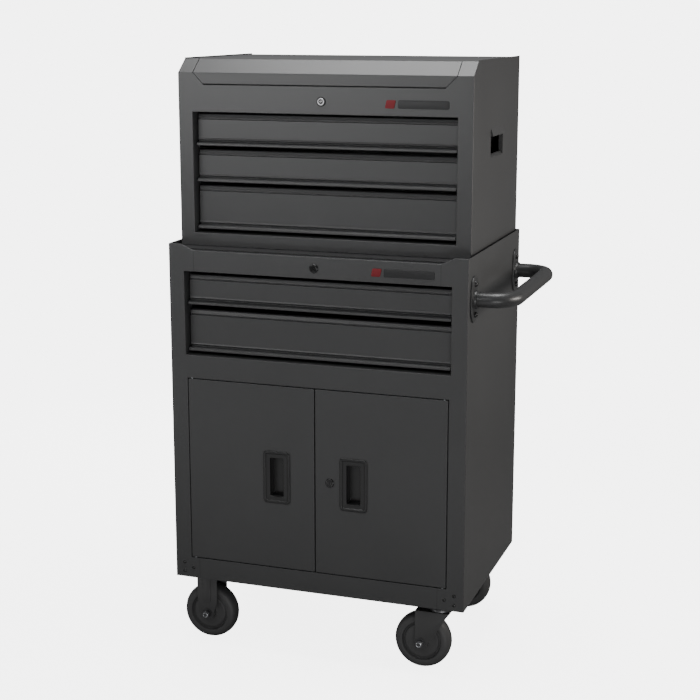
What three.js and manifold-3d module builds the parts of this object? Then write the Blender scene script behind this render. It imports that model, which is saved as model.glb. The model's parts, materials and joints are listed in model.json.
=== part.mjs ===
// Rolling tool chest: a roller cabinet on casters with two drawers, two doors and a push handle,
// and a top chest with three drawers and a lift-up lid standing in its tray top.
// Millimetres, +Z up, the front faces -Y. X runs from the left side to the side with the push handle.

import * as THREE from 'three';
import { mergeVertices } from 'three/addons/utils/BufferGeometryUtils.js';
import Module from 'manifold-3d';

const wasm = await Module();
wasm.setup();

// ---------------------------------------------------------------- driving dimensions

const sheet = 1.0; // thickness of the folded steel sheet
const gap = 0.4; // air between two pieces that touch
const clearance = 0.1; // between a pin and its hole
const jamb = 30; // depth of the folded edge round the drawers' openings
const over = 1; // how far a cutting tool reaches past the face it cuts

const cabinetWidth = 665;
const cabinetDepth = 460;
const cabinetHeight = 755; // without casters, with the rim
const casterHeight = 155;
const rimHeight = 13; // the rim stands this far above the tray top
const rimNotchTop = 303.5; // half width of the front rim's cut-out, at its top
const rimNotchBottom = 274.5;

const chestWidth = 649;
const chestFront = -181;
const chestBack = 227;
const chestHeight = 400;
const linerThickness = 2.9;
const chamferHeight = 28;
const chamferDepth = 36;
const sideLip = 2.5; // the chest's sides stand this far above its lid
const lipWidth = 289.2; // half width of the lid's chamfer
const lipHeight = 23.5;
const seam = 1.5; // gap round the doors and the lid's lip

// Edges and depths of the folded flanges that stiffen the sheets.
const sideFlangeX = 300.5;
const sideBackFlangeX = 316;
const floorLip = { half: 299, height: 19 };
const dividerHeight = 505;
const dividerLipHeight = 12;
const trayLip = { inset: 12, depth: 13 };
const liner = { half: 322, front: -220, back: 222 };
const chestFloorLip = 20;
const till = { above: 4, lip: 12, setback: 12 }; // above the drawers' opening
const headerStep = { depth: 4.5, height: 21 }; // the ledge under the lid's lip, and its riser
const cornerLap = 8; // the chamfered corners lap this far down the face
const lidSideGap = 0.6;
const lidRearGap = 0.5;
const lidLipReturn = 3;
const lidEdge = { front: 4, back: 28, depth: 15 }; // the lid's turned-down side edges

const cabinetOpening = { half: 297.5, low: 511.8, high: 696 }; // heights above the cabinet's bottom edge
const doorOpening = { half: 294.5, low: 48, high: 460.5 };
const chestOpening = { half: 292, low: 27.7, high: 287 }; // heights above the chest's bottom edge

const drawerSideGap = 4;
const drawerBoxInset = 14; // from the opening's edge to the drawer box
const panelRecess = 20; // the drawer's flat panel lies this far behind the frame
const lipRecess = 10; // the drawer's pull lip
const lipFace = 4.5; // height of the pull lip's front edge
const lipRoll = { height: 7, lean: 3 }; // its rounded top, above and behind that edge
const lipReturn = 9; // and the depth of its folded underside
const grooveRecess = 25.5; // the groove above the pull lip
const grooveHeight = 8.5;
const panelLow = 12.5; // the flat panel starts this far above the lip's lower edge
const bead = { out: 1.5, height: 3 }; // the raised bead along the panel's lower edge
const topStrip = { height: 7, lean: 6 }; // above the panel, leaning back
const crest = { height: 3, lean: 3 }; // and above the strip
const boxRecess = 34; // the drawer box starts here
const boxRaise = 1.5; // the box's floor, above the lip
const boxDrop = 10; // the box's edge, below the front's top
const runnerHeight = 8;
const runnerWidth = 12.5;
const runnerInset = { front: 6, back: 5 };
const channel = { setback: 1.5, beyond: 5, plate: 1.4, reach: 3.5, slack: 0.8, inset: 2 };

const cabinetDrawers = [
  { name: 'cabinet_drawer_1', lip: 622.2, height: 63 },
  { name: 'cabinet_drawer_2', lip: 519.6, height: 88 },
];
const chestDrawers = [
  { name: 'chest_drawer_1', lip: 215, height: 65.5 },
  { name: 'chest_drawer_2', lip: 137.6, height: 66.5 },
  { name: 'chest_drawer_3', lip: 35.7, height: 91 },
];
const cabinetBoxDepth = 396;
const chestBoxDepth = 350;

const doorDepth = 18;
const doorLip = 14; // width of the folded edge on the inner side
const doorMiddleGap = 1; // half the gap between the doors
const pullX = 87.5; // from the seam between the doors
const pullZ = 255;
const pullPlate = { width: 62, height: 117, proud: 2.6 };
const pullCavity = { width: 29, height: 84, depth: 20 };
const pullCup = { width: 52, height: 106, bottom: 2 };
const pullGrip = { width: 48, height: 100, wall: 3 }; // the space behind the plate for the fingers
const pullHole = { width: 54, height: 108 };
const pullBevel = 5;
const hingeInset = 8; // the door's pivot, from the door's outer edge
const hingeSetback = 4; // and behind its front face
const rodRadius = 2.5;
const rodReach = 3; // into the frame at both ends

const lockHeadRadius = 10;
const lockBodyRadius = 8;
const plugRadius = 5;
const lockProud = 3;
const lockBodyLength = 20;
const keySlot = { width: 1.4, height: 6.4, depth: 4 };
const cam = { thickness: 2, root: 14, tip: 10, tail: 6 };
const cabinetCam = -18; // length of each cam; a negative one hangs down
const chestCam = 24;
const doorCam = 38;
const cabinetLockZ = 718;
const chestLockZ = 313.5;
const doorLock = { x: 34, z: 255 };

const handleLegs = 188; // each leg of the push handle, from the middle of the side
const handleZ = 666;
const handleStandoff = 80;
const handleRadius = 16;
const handleWall = 1.7;
const handleBend = 46;
const flangePlate = { width: 52, height: 97, thickness: 3 };
const flangeVent = 8;

const wheelRadius = 62.5;
const wheelHalfWidth = 19;
const hub = { radius: 16, proud: 6.5 };
const disc = { from: 18, to: 38, recess: 4.5 };
const tread = { from: 42, to: 54, fall: 9 };
const casterX = 270;
const casterY = 176;
const casterTrail = 39;
const axleRadius = 5;
const nut = { radius: 9, height: 8, thread: 4 };
const boltHead = { height: 6, end: 9 };
const kingpinRadius = 6;
const kingpinHead = { radius: 11, height: 5 };
const raceHeight = 8.5;
const upperRaceRadius = 26;
const lowerRaceRadius = 24;
const forkInside = 26.5; // from the middle of the wheel
const forkThickness = 3;
const casterPlate = { length: 95, width: 70, thickness: 3 };
const rigidLeg = { top: 24, shoulder: 90, foot: 11, low: 50 }; // half widths, and heights above the floor
// A swivel fork's leg from its rear edge to its crown, as (x from the kingpin, z).
const swivelLeg = [[-51, 62], [-46, 50], [-30, 50], [-19, 68], [2, 102], [18, 128]];
const crownReach = { behind: 51, ahead: 24 };

const handHole = { front: -32.5, back: 77.5, low: 194.5, high: 255.5, hood: 16, reach: 6 };
const handSill = { depth: 6.5, rise: 6 };
const handJamb = 8;

const hingeLength = 600;
const hingeKnuckles = 7;
const knuckleRadius = 2.6;
const hingePinRadius = 1.25;
const knuckleGap = 0.3;
const hingeLeaf = { fixed: 28, moving: 27, tab: 5 };

const turn = Math.PI * 2;
const roundSides = 24; // facets of the locks' round bodies
const rodSides = 12;
const pinSides = 16;
const raceSides = 28;

// ---------------------------------------------------------------- derived levels and planes

const halfWidth = cabinetWidth / 2;
const front = -cabinetDepth / 2;
const back = cabinetDepth / 2;
const base = casterHeight;
const rimTop = base + cabinetHeight;
const trayTop = rimTop - rimHeight;
const chestHalf = chestWidth / 2;
const chestBase = trayTop + linerThickness + 2 * gap;
const sideTop = chestBase + chestHeight;
const lidTop = sideTop - sideLip;
const creaseZ = lidTop - chamferHeight;
const creaseY = chestFront + chamferDepth;
const hingeY = chestBack + gap + knuckleRadius;
const hingeRodX = doorOpening.half - seam - hingeInset;
const leafTop = lidTop - sheet - gap;
const hingeZ = leafTop - knuckleRadius;

// ---------------------------------------------------------------- solids

// A closed three.js geometry becomes a solid that can be joined and cut.
function solid(geometry) {
  geometry.deleteAttribute('normal');
  geometry.deleteAttribute('uv');
  const merged = mergeVertices(geometry, 1e-4);
  const mesh = new wasm.Mesh({
    numProp: 3,
    vertProperties: new Float32Array(merged.attributes.position.array),
    triVerts: new Uint32Array(merged.index.array),
  });
  return new wasm.Manifold(mesh);
}

function box(x0, x1, y0, y1, z0, z1) {
  const geometry = new THREE.BoxGeometry(x1 - x0, y1 - y0, z1 - z0);
  geometry.translate((x0 + x1) / 2, (y0 + y1) / 2, (z0 + z1) / 2);
  return solid(geometry);
}

// Outlines are (y, z) pairs along x, (x, z) pairs along y and (x, y) pairs along z.
const directions = {
  x: [new THREE.Vector3(0, 1, 0), new THREE.Vector3(0, 0, 1), new THREE.Vector3(1, 0, 0)],
  y: [new THREE.Vector3(1, 0, 0), new THREE.Vector3(0, 0, 1), new THREE.Vector3(0, -1, 0)],
  z: [new THREE.Vector3(1, 0, 0), new THREE.Vector3(0, 1, 0), new THREE.Vector3(0, 0, 1)],
};

function prism(axis, outline, from, to, holes = []) {
  const points = (pairs) => pairs.map(([a, b]) => new THREE.Vector2(a, b));
  const shape = new THREE.Shape(points(outline));
  for (const hole of holes) {
    shape.holes.push(new THREE.Path(points(hole)));
  }
  const geometry = new THREE.ExtrudeGeometry(shape, { depth: to - from, bevelEnabled: false });
  geometry.applyMatrix4(new THREE.Matrix4().makeBasis(...directions[axis]));
  const start = axis === 'y' ? to : from;
  geometry.translate(...{ x: [start, 0, 0], y: [0, start, 0], z: [0, 0, start] }[axis]);
  return solid(geometry);
}

function circle(a, b, radius, sides) {
  const corner = (i) => (turn * (i + 0.5)) / sides;
  return Array.from({ length: sides }, (_, i) => [
    a + radius * Math.cos(corner(i)),
    b + radius * Math.sin(corner(i)),
  ]);
}

function rod(axis, a, b, radius, from, to, sides = 20) {
  return prism(axis, circle(a, b, radius, sides), from, to);
}

// A round hole for a rod of this radius: its flats stand clear of the rod.
function bore(axis, a, b, radius, from, to, sides = 20) {
  return rod(axis, a, b, (radius + clearance) / Math.cos(Math.PI / sides), from, to, sides);
}

function rectangle(a0, a1, b0, b1) {
  return [[a0, b0], [a1, b0], [a1, b1], [a0, b1]];
}

// The same path moved to its left.
function offset(path, distance) {
  const normals = [];
  for (let i = 1; i < path.length; i += 1) {
    const along = new THREE.Vector2(path[i][0] - path[i - 1][0], path[i][1] - path[i - 1][1]).normalize();
    normals.push(new THREE.Vector2(-along.y, along.x));
  }
  return path.map(([a, b], i) => {
    const before = normals[Math.max(i - 1, 0)];
    const after = normals[Math.min(i, normals.length - 1)];
    const scale = distance / (1 + before.dot(after));
    return [a + (before.x + after.x) * scale, b + (before.y + after.y) * scale];
  });
}

// The outline of a folded strip of sheet, which lies to the left of its path.
function strip(path, thickness) {
  return [...path, ...offset(path, thickness).reverse()];
}

function join(...shapes) {
  return shapes.reduce((whole, shape) => whole.add(shape));
}

function cut(shape, ...tools) {
  return tools.reduce((whole, tool) => whole.subtract(tool), shape);
}

function mirrored(shape) {
  return shape.mirror([1, 0, 0]);
}

// ---------------------------------------------------------------- finishes

const paint = { color: 0x3f4145, roughness: 0.55, metalness: 0.35 };
const zinc = { color: 0x8d9094, roughness: 0.4, metalness: 0.85 };
const chrome = { color: 0xb9bcc0, roughness: 0.22, metalness: 0.95 };
const blackPlastic = { color: 0x151617, roughness: 0.5, metalness: 0.0 };
const rubber = { color: 0x1e1f21, roughness: 0.8, metalness: 0.0 };
const foam = { color: 0x232426, roughness: 0.95, metalness: 0.0 };

const group = new THREE.Group();

function node(name, shape, look) {
  const { vertProperties, triVerts } = shape.getMesh();
  const geometry = new THREE.BufferGeometry();
  geometry.setAttribute('position', new THREE.BufferAttribute(vertProperties, 3));
  geometry.setIndex(new THREE.BufferAttribute(triVerts, 1));
  geometry.computeVertexNormals();
  const mesh = new THREE.Mesh(geometry, new THREE.MeshStandardMaterial(look));
  mesh.name = name;
  group.add(mesh);
}

// ---------------------------------------------------------------- cabinet shell

// A ring of folded sheet standing behind the edge of a front opening.
function jambRing(opening, low, high, face, depth) {
  const outside = box(-opening - sheet, opening + sheet, face, face + depth, low - sheet, high + sheet);
  return cut(outside, box(-opening, opening, face - over, face + depth + over, low, high));
}

function cabinetFrontFrame() {
  const outline = [
    [-halfWidth, base],
    [halfWidth, base],
    [halfWidth, rimTop],
    [rimNotchTop, rimTop],
    [rimNotchBottom, trayTop],
    [-rimNotchBottom, trayTop],
    [-rimNotchTop, rimTop],
    [-halfWidth, rimTop],
  ];
  const drawerLow = base + cabinetOpening.low;
  const drawerHigh = base + cabinetOpening.high;
  const doorLow = base + doorOpening.low;
  const doorHigh = base + doorOpening.high;
  const openings = [
    rectangle(-cabinetOpening.half, cabinetOpening.half, drawerLow, drawerHigh),
    rectangle(-doorOpening.half, doorOpening.half, doorLow, doorHigh),
  ];
  const face = prism('y', outline, front, front + sheet, openings);
  const behind = front + sheet / 2;
  const drawerRing = jambRing(cabinetOpening.half, drawerLow, drawerHigh, behind, jamb);
  const doorRing = jambRing(doorOpening.half, doorLow, doorHigh, behind, doorDepth);
  const lockHole = lockBore(0, base + cabinetLockZ, front);
  const rodLow = doorLow - rodReach - over;
  const rodHigh = doorHigh + rodReach + over;
  const rodHoles = [-1, 1].map((side) => bore(
    'z', side * hingeRodX, front + hingeSetback, rodRadius, rodLow, rodHigh, rodSides,
  ));
  return cut(join(face, drawerRing, doorRing), lockHole, ...rodHoles);
}

function cabinetSide() {
  const outer = halfWidth;
  const inner = outer - sheet;
  const flangeFront = front + sheet + gap;
  const wall = box(inner, outer, flangeFront, back, base, rimTop);
  const flangeBack = back - sheet - gap;
  const flangeTop = trayTop - sheet - gap;
  const frontFlange = box(sideFlangeX, outer, flangeFront, flangeFront + sheet, base, flangeTop);
  const backFlange = box(sideBackFlangeX, outer, flangeBack - sheet, flangeBack, base, flangeTop);
  const bottomFlange = box(sideFlangeX, outer, flangeFront, flangeBack, base, base + sheet);
  return join(wall, frontFlange, backFlange, bottomFlange);
}

const insideX = halfWidth - sheet - gap;
const insideY = back - 2 * sheet - 2 * gap;
const floorZ = base + sheet + gap;
const dividerZ = base + dividerHeight;

function cabinetFloor() {
  const pan = box(-insideX, insideX, -insideY, insideY, floorZ, floorZ + sheet);
  const { half, height } = floorLip;
  const frontLip = box(-half, half, -insideY, -insideY + sheet, floorZ, floorZ + height);
  const backLip = box(-half, half, insideY - sheet, insideY, floorZ, floorZ + height);
  return join(pan, frontLip, backLip);
}

function cabinetDivider() {
  const pan = box(-insideX, insideX, -insideY, insideY, dividerZ, dividerZ + sheet);
  const low = dividerZ - dividerLipHeight;
  const frontLip = box(-floorLip.half, floorLip.half, -insideY, -insideY + sheet, low, dividerZ + sheet);
  return join(pan, frontLip);
}

function cabinetTop() {
  const edge = back - sheet - gap;
  const pan = box(-insideX, insideX, -edge, edge, trayTop - sheet, trayTop);
  const lipEnd = insideY - trayLip.inset;
  const lip = box(insideX - sheet, insideX, -lipEnd, lipEnd, trayTop - trayLip.depth, trayTop - sheet / 2);
  return join(pan, lip, mirrored(lip));
}

// The channels that the drawers run in, on one plate, with a leg at each end that reaches the side wall.
function slideBracket(opening, wall, face, depth, low, high, runners) {
  const plateX = opening + channel.plate;
  const start = face + boxRecess + channel.setback;
  const end = face + boxRecess + depth + channel.beyond;
  const reach = opening - drawerBoxInset + channel.reach;
  const half = runnerHeight / 2 + channel.slack;
  const bracket = prism('z', strip([
    [wall, start],
    [plateX, start],
    [plateX, end],
    [wall, end],
  ], -sheet), low, high);
  const flanges = runners.flatMap((z) => [
    box(reach, plateX + sheet / 2, start + sheet / 2, end - sheet / 2, z + half, z + half + sheet),
    box(reach, plateX + sheet / 2, start + sheet / 2, end - sheet / 2, z - half - sheet, z - half),
  ]);
  return join(bracket, ...flanges);
}

function runnerLevel(drawer, bottom) {
  return bottom + drawer.lip + drawer.height / 2;
}

// ---------------------------------------------------------------- drawers

// The front is one folded sheet: a top edge that leans back, a flat panel with a bead along its
// lower edge, a groove and a pull lip.
function drawerFront(drawer, bottom, opening, face) {
  const low = bottom + drawer.lip;
  const top = low + drawer.height;
  const end = opening - drawerSideGap;
  const rear = boxRecess - gap;
  const lipEnd = face + lipRecess + lipReturn;
  const panel = face + panelRecess;
  const stripTop = top - crest.height;
  const path = [
    [face + rear, top],
    [panel + topStrip.lean + crest.lean, top],
    [panel + topStrip.lean, stripTop],
    [panel, stripTop - topStrip.height],
    [panel, low + panelLow + bead.height],
    [panel - bead.out, low + panelLow],
    [face + grooveRecess, low + grooveHeight],
    [face + lipRecess + lipRoll.lean, low + lipRoll.height],
    [face + lipRecess, low + lipFace],
    [face + lipRecess, low],
    [lipEnd, low],
  ];
  const outside = prism('x', [...path.slice(0, -1), [face + rear, low]], -end, end);
  const hollow = prism('x', [
    [face + rear + over, top - sheet],
    ...offset(path, sheet).slice(1),
    [lipEnd, low - over],
    [face + rear + over, low - over],
  ], -end + sheet, end - sheet);
  return cut(outside, hollow);
}

function drawerBox(drawer, bottom, opening, face, depth) {
  const half = opening - drawerBoxInset;
  const low = bottom + drawer.lip + boxRaise;
  const top = bottom + drawer.lip + drawer.height - boxDrop;
  const start = face + boxRecess;
  const end = start + depth;
  const outside = box(-half, half, start, end, low, top);
  const inside = box(-half + sheet, half - sheet, start + sheet, end - sheet, low + sheet, top + over);
  const z = runnerLevel(drawer, bottom);
  const runner = box(
    half - sheet / 2, half + runnerWidth, start + runnerInset.front, end - runnerInset.back,
    z - runnerHeight / 2, z + runnerHeight / 2,
  );
  return join(cut(outside, inside), runner, mirrored(runner));
}

// ---------------------------------------------------------------- doors, pulls and locks

function door() {
  const x0 = doorMiddleGap;
  const x1 = doorOpening.half - seam;
  const z0 = base + doorOpening.low + seam;
  const z1 = base + doorOpening.high - seam;
  const rear = front + doorDepth;
  const pan = box(x0, x1, front, rear, z0, z1);
  const hollow = box(x0 + sheet, x1 - sheet, front + sheet, rear - sheet, z0 + sheet, z1 - sheet);
  const mouth = box(x0 + doorLip, x1 - doorLip, front + 2 * sheet, rear + over, z0 + doorLip, z1 - doorLip);
  const z = base + pullZ;
  const hole = upright(pullX, z, pullHole, front - over, front + 2 * sheet);
  const rodHole = bore('z', hingeRodX, front + hingeSetback, rodRadius, z0 - over, z1 + over, rodSides);
  return cut(pan, hollow, mouth, hole, rodHole);
}

// A box of this width and height round a point of the front.
function upright(x, z, { width, height }, from, to) {
  return box(x - width / 2, x + width / 2, from, to, z - height / 2, z + height / 2);
}

function doorPull() {
  const z = base + pullZ;
  const halfW = pullPlate.width / 2;
  const halfH = pullPlate.height / 2;
  const outline = [
    [pullX - halfW + pullBevel, z - halfH],
    [pullX + halfW - pullBevel, z - halfH],
    [pullX + halfW, z - halfH + pullBevel],
    [pullX + halfW, z + halfH - pullBevel],
    [pullX + halfW - pullBevel, z + halfH],
    [pullX - halfW + pullBevel, z + halfH],
    [pullX - halfW, z + halfH - pullBevel],
    [pullX - halfW, z - halfH + pullBevel],
  ];
  const face = front - pullPlate.proud - gap;
  const bottom = front + pullCavity.depth;
  const plate = prism('y', outline, face, front - gap);
  const cup = upright(pullX, z, pullCup, front - gap - over, bottom + pullCup.bottom);
  const cavity = upright(pullX, z, pullCavity, face - over, bottom);
  const gripSpace = upright(pullX, z, pullGrip, front + pullGrip.wall, bottom);
  return cut(join(plate, cup), cavity, gripSpace);
}

// The hole in the sheet for a lock's body.
function lockBore(x, z, face) {
  return bore('y', x, z, lockBodyRadius, face - over, face + sheet + over, roundSides);
}

function lockBarrel(x, z, face) {
  const rear = face + lockBodyLength;
  const head = rod('y', x, z, lockHeadRadius, face - lockProud, face - gap, raceSides);
  const body = rod('y', x, z, lockBodyRadius, face - gap - over, rear, roundSides);
  const keyway = bore('y', x, z, plugRadius, face - lockProud - over, rear + over, roundSides);
  return cut(join(head, body), keyway);
}

// A round plug with a key slot, and a cam on its rear end.
function lockPlug(x, z, face, camReach) {
  const camFace = face + lockBodyLength + gap;
  const camRear = camFace + cam.thickness;
  const tail = z - Math.sign(camReach) * cam.tail;
  const tip = z + camReach;
  const plug = rod('y', x, z, plugRadius, face - lockProud, camRear, roundSides);
  const slot = upright(x, z, keySlot, face - lockProud - over, face - lockProud + keySlot.depth);
  const lever = prism('y', [
    [x - cam.root / 2, tail],
    [x + cam.root / 2, tail],
    [x + cam.tip / 2, tip],
    [x - cam.tip / 2, tip],
  ], camFace, camRear);
  return join(cut(plug, slot), lever);
}

function hingeRod() {
  const low = base + doorOpening.low - rodReach;
  const high = base + doorOpening.high + rodReach;
  return rod('z', hingeRodX, front + hingeSetback, rodRadius, low, high, rodSides);
}

// ---------------------------------------------------------------- push handle

const quarterArc = 0.5523; // a Bezier's handles that make a quarter of a circle, as a part of its radius
const tubeSteps = 40;

function pushHandle() {
  const wall = halfWidth + gap;
  const z = base + handleZ;
  const path = new THREE.CurvePath();
  const grip = halfWidth + handleStandoff;
  const point = (x, y) => new THREE.Vector3(x, y, z);
  const legEnd = wall + flangePlate.thickness - over;
  const bendStart = grip - handleBend;
  const bendEnd = handleLegs - handleBend;
  const bulge = handleBend * quarterArc;
  path.add(new THREE.LineCurve3(point(legEnd, -handleLegs), point(bendStart, -handleLegs)));
  path.add(new THREE.CubicBezierCurve3(
    point(bendStart, -handleLegs),
    point(bendStart + bulge, -handleLegs),
    point(grip, -bendEnd - bulge),
    point(grip, -bendEnd),
  ));
  path.add(new THREE.LineCurve3(point(grip, -bendEnd), point(grip, bendEnd)));
  path.add(new THREE.CubicBezierCurve3(
    point(grip, bendEnd),
    point(grip, bendEnd + bulge),
    point(bendStart + bulge, handleLegs),
    point(bendStart, handleLegs),
  ));
  path.add(new THREE.LineCurve3(point(bendStart, handleLegs), point(legEnd, handleLegs)));
  const round = (radius) => circle(0, 0, radius, rodSides).map(([a, b]) => new THREE.Vector2(a, b));
  const section = new THREE.Shape(round(handleRadius));
  section.holes.push(new THREE.Path(round(handleRadius - handleWall)));
  const tube = solid(new THREE.ExtrudeGeometry(section, { steps: tubeSteps, extrudePath: path }));
  const flanges = [-1, 1].map((side) => flange(side * handleLegs, z, wall));
  return join(tube, ...flanges);
}

// An upright plate with round ends, and a vent into the tube.
function flange(y, z, wall) {
  const radius = flangePlate.width / 2;
  const straight = flangePlate.height / 2 - radius;
  const steps = 8;
  const outline = [];
  for (const end of [1, -1]) {
    for (let i = 0; i <= steps; i += 1) {
      const angle = (end > 0 ? 0 : Math.PI) + (Math.PI * i) / steps;
      outline.push([y + radius * Math.cos(angle), z + end * straight + radius * Math.sin(angle)]);
    }
  }
  const plate = prism('x', outline, wall, wall + flangePlate.thickness);
  const vent = rod('x', y, z, flangeVent, wall - over, wall + flangePlate.thickness + over, rodSides);
  return cut(plate, vent);
}

// ---------------------------------------------------------------- casters

// A hub, a recessed disc and a tread with rounded edges, turned so that a facet lies on the floor.
function wheel(x, y) {
  const facets = raceSides;
  const side = wheelHalfWidth;
  const half = [
    [axleRadius + clearance, side + hub.proud],
    [hub.radius, side + hub.proud],
    [disc.from, side - disc.recess],
    [disc.to, side - disc.recess],
    [tread.from, side],
    [tread.to, side],
    [wheelRadius, side - tread.fall],
  ];
  const far = half.map(([r, a]) => [r, -a]);
  const profile = [...far, ...half.reverse(), far[0]].map(([r, a]) => new THREE.Vector2(r, a));
  const geometry = new THREE.LatheGeometry(profile, facets);
  const swell = 1 / Math.cos(turn / (2 * facets));
  geometry.rotateY(turn / (2 * facets));
  geometry.scale(swell, 1, swell);
  geometry.translate(x, y, wheelRadius);
  return solid(geometry);
}

function axle(x, y) {
  const leg = forkInside + forkThickness + gap;
  const outer = y - leg - nut.height;
  const shaft = rod('y', x, wheelRadius, axleRadius, outer - nut.thread, y + leg + boltHead.end, pinSides);
  const hexNut = rod('y', x, wheelRadius, nut.radius, outer, y - leg, 6);
  const head = rod('y', x, wheelRadius, nut.radius, y + leg, y + leg + boltHead.height, 6);
  return join(shaft, hexNut, head);
}

function topPlate(x, y) {
  const top = base - gap;
  const halfLength = casterPlate.length / 2;
  const halfDepth = casterPlate.width / 2;
  return box(x - halfLength, x + halfLength, y - halfDepth, y + halfDepth, top - casterPlate.thickness, top);
}

// Both legs of a fork, with the axle's holes. The outline is in (x, z), from the wheel's axle along x.
function forkLegs(x, y, axleX, outline) {
  const legs = [-forkInside - forkThickness, forkInside].map((inner) => prism(
    'y', outline.map(([a, b]) => [x + a, b]), y + inner, y + inner + forkThickness,
  ));
  const reach = forkInside + forkThickness + over;
  const axleHole = bore('y', axleX, wheelRadius, axleRadius, y - reach, y + reach, pinSides);
  return legs.map((leg) => cut(leg, axleHole));
}

function rigidFork(x, y) {
  const top = base - gap - casterPlate.thickness;
  const { foot, low, shoulder } = rigidLeg;
  const half = [[foot, low], [rigidLeg.top, shoulder], [rigidLeg.top, top + over]];
  const outline = [...half, ...half.map(([a, b]) => [-a, b]).reverse()];
  return join(topPlate(x, y), ...forkLegs(x, y, x, outline));
}

const raceLow = base - gap - casterPlate.thickness - raceHeight;
const crownTop = raceLow - gap;
const crownLow = crownTop - raceHeight;

// The upper half of the ball race, and the kingpin whose head carries the fork.
function swivelPlate(x, y) {
  const race = rod('z', x, y, upperRaceRadius, raceLow, raceLow + raceHeight + over, raceSides);
  const headTop = crownLow - over - gap;
  const pin = rod('z', x, y, kingpinRadius, headTop - over, raceLow + over, pinSides);
  const head = rod('z', x, y, kingpinHead.radius, headTop - kingpinHead.height, headTop, 6);
  return join(topPlate(x, y), race, pin, head);
}

function swivelFork(x, y) {
  const { behind, ahead } = crownReach;
  const outline = [[-behind, crownLow], ...swivelLeg, [ahead, crownLow]];
  const side = forkInside + forkThickness;
  const crown = box(x - behind, x + ahead, y - side, y + side, crownLow - over, crownLow + 2 * over);
  const race = rod('z', x, y, lowerRaceRadius, crownLow, crownTop, raceSides);
  const legs = forkLegs(x, y, x - casterTrail, outline);
  const pinHole = bore('z', x, y, kingpinRadius, crownLow - 2 * over, crownTop + over, pinSides);
  return cut(join(crown, race, ...legs), pinHole);
}

// ---------------------------------------------------------------- chest

const chestInside = chestHalf - sheet - gap;

function chestFrontFrame() {
  const cornerX = lipWidth + seam;
  const headerTop = creaseZ - lipHeight - seam;
  const outline = [
    [-chestHalf, chestBase],
    [chestHalf, chestBase],
    [chestHalf, creaseZ],
    [cornerX, creaseZ],
    [cornerX - lipHeight - seam, headerTop],
    [-cornerX + lipHeight + seam, headerTop],
    [-cornerX, creaseZ],
    [-chestHalf, creaseZ],
  ];
  const low = chestBase + chestOpening.low;
  const high = chestBase + chestOpening.high;
  const opening = rectangle(-chestOpening.half, chestOpening.half, low, high);
  const face = prism('y', outline, chestFront, chestFront + sheet, [opening]);
  const ring = jambRing(chestOpening.half, low, high, chestFront + sheet / 2, jamb);
  const foldLine = [[creaseY, lidTop], [chestFront, creaseZ], [chestFront, creaseZ - cornerLap]];
  const corner = prism('x', strip(foldLine, sheet), cornerX, chestHalf);
  const inner = lipWidth - lipHeight;
  const rear = chestFront + headerStep.depth;
  const step = box(-inner, inner, chestFront, rear, headerTop - sheet, headerTop);
  const riser = box(-inner, inner, rear - sheet, rear, headerTop - sheet, headerTop + headerStep.height);
  const lockHole = lockBore(0, chestBase + chestLockZ, chestFront);
  return cut(join(face, ring, corner, mirrored(corner), step, riser), lockHole);
}

function chestSide() {
  const inner = chestHalf - sheet;
  const start = chestFront + sheet + gap;
  const slope = chamferHeight / chamferDepth;
  const drop = (sheet + gap) * Math.hypot(1, slope);
  const edge = (y) => creaseZ + (y - chestFront) * slope - drop;
  const outline = [
    [start, chestBase + gap],
    [chestBack, chestBase + gap],
    [chestBack, sideTop],
    [creaseY + sheet, sideTop],
    [creaseY + sheet, edge(creaseY + sheet)],
    [start, edge(start)],
  ];
  const low = chestBase + handHole.low;
  const high = chestBase + handHole.high;
  const hole = rectangle(handHole.front, handHole.back, low, high);
  const wall = prism('x', outline, inner, chestHalf, [hole]);
  const hoodPath = [
    [chestHalf, high + sheet],
    [chestHalf + handHole.reach, high - handHole.hood],
  ];
  const hood = prism('y', strip(hoodPath, -sheet), handHole.front, handHole.back);
  const wedge = [
    [chestHalf - sheet, high + sheet / 2],
    [chestHalf - sheet, high - handHole.hood],
    [chestHalf + handHole.reach - sheet / 2, high - handHole.hood],
  ];
  const wedges = [handHole.front, handHole.back - sheet].map((y) => prism('y', wedge, y, y + sheet));
  const sillPath = [[chestHalf, low - sheet / 2], [chestHalf - handSill.depth, low + handSill.rise]];
  const sill = prism('y', strip(sillPath, sheet), handHole.front, handHole.back);
  const jambs = [handHole.front - sheet / 2, handHole.back - sheet / 2].map((y) => box(
    inner - handJamb, chestHalf - sheet / 2, y, y + sheet, low, high,
  ));
  return join(wall, hood, ...wedges, sill, ...jambs);
}

function chestFloor() {
  const z = chestBase + gap;
  const start = chestFront + sheet + gap;
  const end = chestBack - sheet - gap;
  const pan = box(-chestInside, chestInside, start, end, z, z + sheet);
  const lip = box(-chestInside, chestInside, start, start + sheet, z, z + chestFloorLip);
  return join(pan, lip);
}

function tillFloor() {
  const z = chestBase + chestOpening.high + till.above;
  const start = chestFront + sheet + gap;
  const end = chestBack - sheet - gap;
  const pan = box(-chestInside, chestInside, start, end, z, z + sheet);
  const lip = box(chestInside - sheet, chestInside, start + till.setback, end, z, z + till.lip);
  return join(pan, lip, mirrored(lip));
}

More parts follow.
